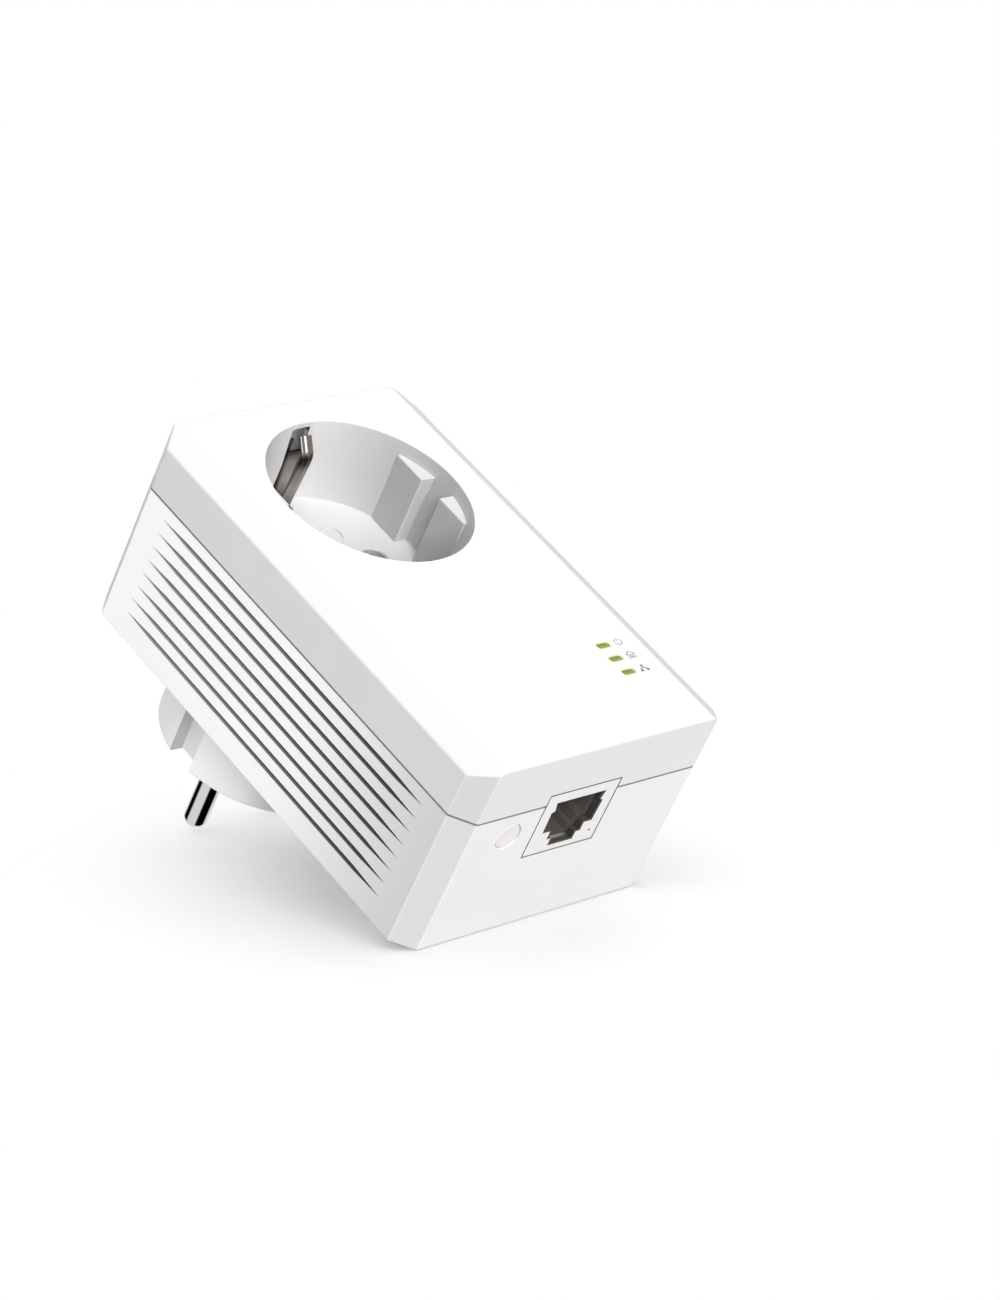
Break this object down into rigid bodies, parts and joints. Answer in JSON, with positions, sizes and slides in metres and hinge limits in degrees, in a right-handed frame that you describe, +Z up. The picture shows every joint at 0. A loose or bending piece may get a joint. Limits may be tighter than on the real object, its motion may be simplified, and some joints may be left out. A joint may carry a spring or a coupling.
{
  "type": "powerline adapter",
  "caption": "Plug-in powerline network adapter with a passthrough mains socket in front, side vents, and an Ethernet port and pair button underneath.",
  "frame": {"origin": "centre of the plug's end face, midway between the two pins", "axes": "+X to the right seen from the front, +Y towards the wall along the pins, +Z up"},
  "size_m": [0.0634, 0.0831, 0.1],
  "materials": {
    "gloss_white": "gloss",
    "satin_white": "satin",
    "plug_white": "satin",
    "jack_grey": "satin",
    "dark_plastic": "satin",
    "nickel": "polished",
    "brass": "satin",
    "gold": "polished",
    "zinc_steel": "satin",
    "aluminium": "satin",
    "laminate": "satin",
    "epoxy": "matte",
    "film_yellow": "satin",
    "sleeve_blue": "satin",
    "varistor_blue": "satin",
    "fuse_glass": "gloss",
    "ferrite": "matte",
    "light_green": "gloss",
    "led_lens": "gloss",
    "fibre": "matte",
    "label_film": "satin"
  },
  "bodies": {
    "housing": {"front_cover": "gloss_white", "rear_housing": "satin_white", "socket_cup": "gloss_white", "clip_plate_top": "nickel", "clip_plate_bottom": "nickel", "contact_carrier": "satin_white", "contact_sleeve_left": "brass", "contact_sleeve_right": "brass", "busbar_left": "brass", "busbar_right": "brass", "earth_strap": "brass", "plug_base": "plug_white", "plug_pin_left": "nickel", "plug_pin_right": "nickel", "main_board": "laminate", "power_board": "laminate", "insulating_sheet": "fibre", "line_chip": "epoxy", "chip_cooler": "aluminium", "memory_chip": "epoxy", "line_magnetics": "epoxy", "board_link": "dark_plastic", "supply_transformer": "ferrite", "storage_capacitor_left": "sleeve_blue", "storage_capacitor_right": "sleeve_blue", "filter_capacitor": "film_yellow", "mains_choke": "ferrite", "fuse": "fuse_glass", "varistor": "varistor_blue", "jack_frame": "satin_white", "jack_shell": "jack_grey", "switch_body": "dark_plastic", "light_guide": "light_green", "rear_label": "label_film", "jack_contact_1": "gold", "jack_contact_2": "gold", "jack_contact_3": "gold", "jack_contact_4": "gold", "jack_contact_5": "gold", "jack_contact_6": "gold", "jack_contact_7": "gold", "jack_contact_8": "gold", "lamp_1": "led_lens", "lamp_2": "led_lens", "lamp_3": "led_lens", "housing_screw_1": "zinc_steel", "housing_screw_2": "zinc_steel", "housing_screw_3": "zinc_steel", "housing_screw_4": "zinc_steel"},
    "button": {"pair_button": "satin_white"},
    "plunger": {"switch_plunger": "zinc_steel"},
    "clip_top": {"earth_clip_top": "nickel"},
    "clip_bottom": {"earth_clip_bottom": "nickel"},
    "strip_top": {"plug_earth_top": "nickel"},
    "strip_bottom": {"plug_earth_bottom": "nickel"}
  },
  "joints": [
    {"name": "button_press", "type": "slide", "parent": "housing", "child": "button", "axis": [0, 0, 1], "range_m": [0, 0.0008], "stiffness_N_per_m": 1000},
    {"name": "plunger_press", "type": "slide", "parent": "housing", "child": "plunger", "axis": [0, 0, 1], "range_m": [0, 0.0003], "stiffness_N_per_m": 100},
    {"name": "clip_top_flex", "type": "hinge", "parent": "housing", "child": "clip_top", "pos_m": [0, -0.0457, 0.018], "axis": [-1, 0, 0], "range_deg": [0, 7], "stiffness_Nm_per_rad": 0.4},
    {"name": "clip_bottom_flex", "type": "hinge", "parent": "housing", "child": "clip_bottom", "pos_m": [0, -0.0457, -0.018], "axis": [1, 0, 0], "range_deg": [0, 7], "stiffness_Nm_per_rad": 0.4},
    {"name": "strip_top_flex", "type": "hinge", "parent": "housing", "child": "strip_top", "pos_m": [0, -0.0183, 0.0164], "axis": [-1, 0, 0], "range_deg": [0, 2.2], "stiffness_Nm_per_rad": 0.4},
    {"name": "strip_bottom_flex", "type": "hinge", "parent": "housing", "child": "strip_bottom", "pos_m": [0, -0.0183, -0.0164], "axis": [1, 0, 0], "range_deg": [0, 2.2], "stiffness_Nm_per_rad": 0.4}
  ],
  "couplings": [
    {"joint": "plunger_press", "follows": "button_press", "ratio": 0.375}
  ]
}
